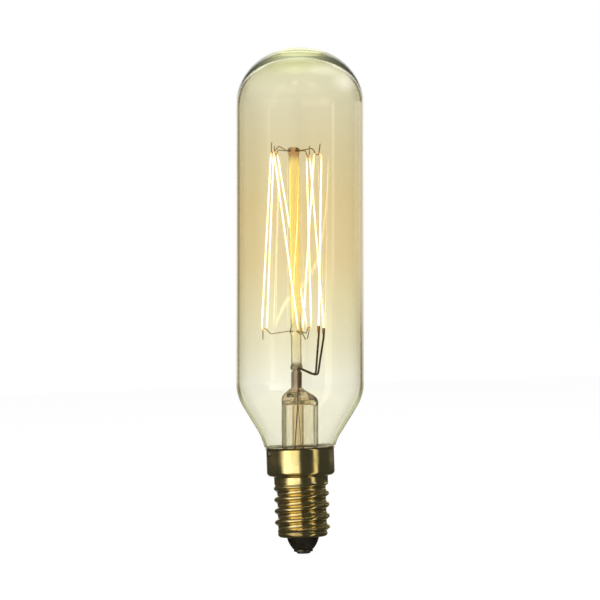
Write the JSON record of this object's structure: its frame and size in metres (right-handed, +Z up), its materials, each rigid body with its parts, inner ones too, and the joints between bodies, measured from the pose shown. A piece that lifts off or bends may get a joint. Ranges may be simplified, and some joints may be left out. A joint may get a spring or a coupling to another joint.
{
  "type": "tubular filament bulb",
  "caption": "Amber tubular glass lamp with a squirrel-cage filament on hooked wires round a glass rod, a glass stem and a small brass screw cap.",
  "frame": {"origin": "flat tip of the centre contact, on the cap's axis", "axes": "+Z up along the cap's axis towards the dome; the glass leans 1.9 degrees towards +X; -Y is the side that the picture shows"},
  "size_m": [0.0342, 0.032, 0.1265],
  "materials": {
    "cap_brass": "drawn brass, lacquered, lightly tarnished",
    "contact_brass": "stamped brass",
    "vitrite": "black vitrite glass, glossy",
    "solder": "tin solder, dull",
    "cement": "baked basing cement, matt",
    "amber_glass": "blown glass, amber tint that fades towards the cap",
    "stem_glass": "clear fire-polished glass",
    "seal_copper": "copper-clad seal wire, oxidised red-brown",
    "post_nickel": "nickel wire, darkened, coppery at the crimps",
    "tail_copper": "tinned copper wire, dull",
    "anchor_wire": "thin support wire, heat-tinted",
    "filament_glow": "lit filament, white-yellow"
  },
  "bodies": {
    "root": {"cap_shell": "cap_brass", "cap_insulator": "vitrite", "centre_contact": "contact_brass", "centre_solder": "solder", "side_solder": "solder", "basing_cement": "cement", "glass_envelope": "amber_glass", "stem_tube": "stem_glass", "exhaust_tube": "stem_glass", "arbor_rod": "stem_glass", "seal_wire_left": "seal_copper", "seal_wire_right": "seal_copper", "lead_post_left": "post_nickel", "lead_post_right": "post_nickel", "tail_wire_side": "tail_copper", "tail_wire_centre": "tail_copper", "top_anchor_1": "anchor_wire", "top_anchor_2": "anchor_wire", "top_anchor_3": "anchor_wire", "top_anchor_4": "anchor_wire", "bottom_anchor_1": "anchor_wire", "bottom_anchor_2": "anchor_wire", "bottom_anchor_3": "anchor_wire", "filament": "filament_glow"}
  },
  "joints": []
}
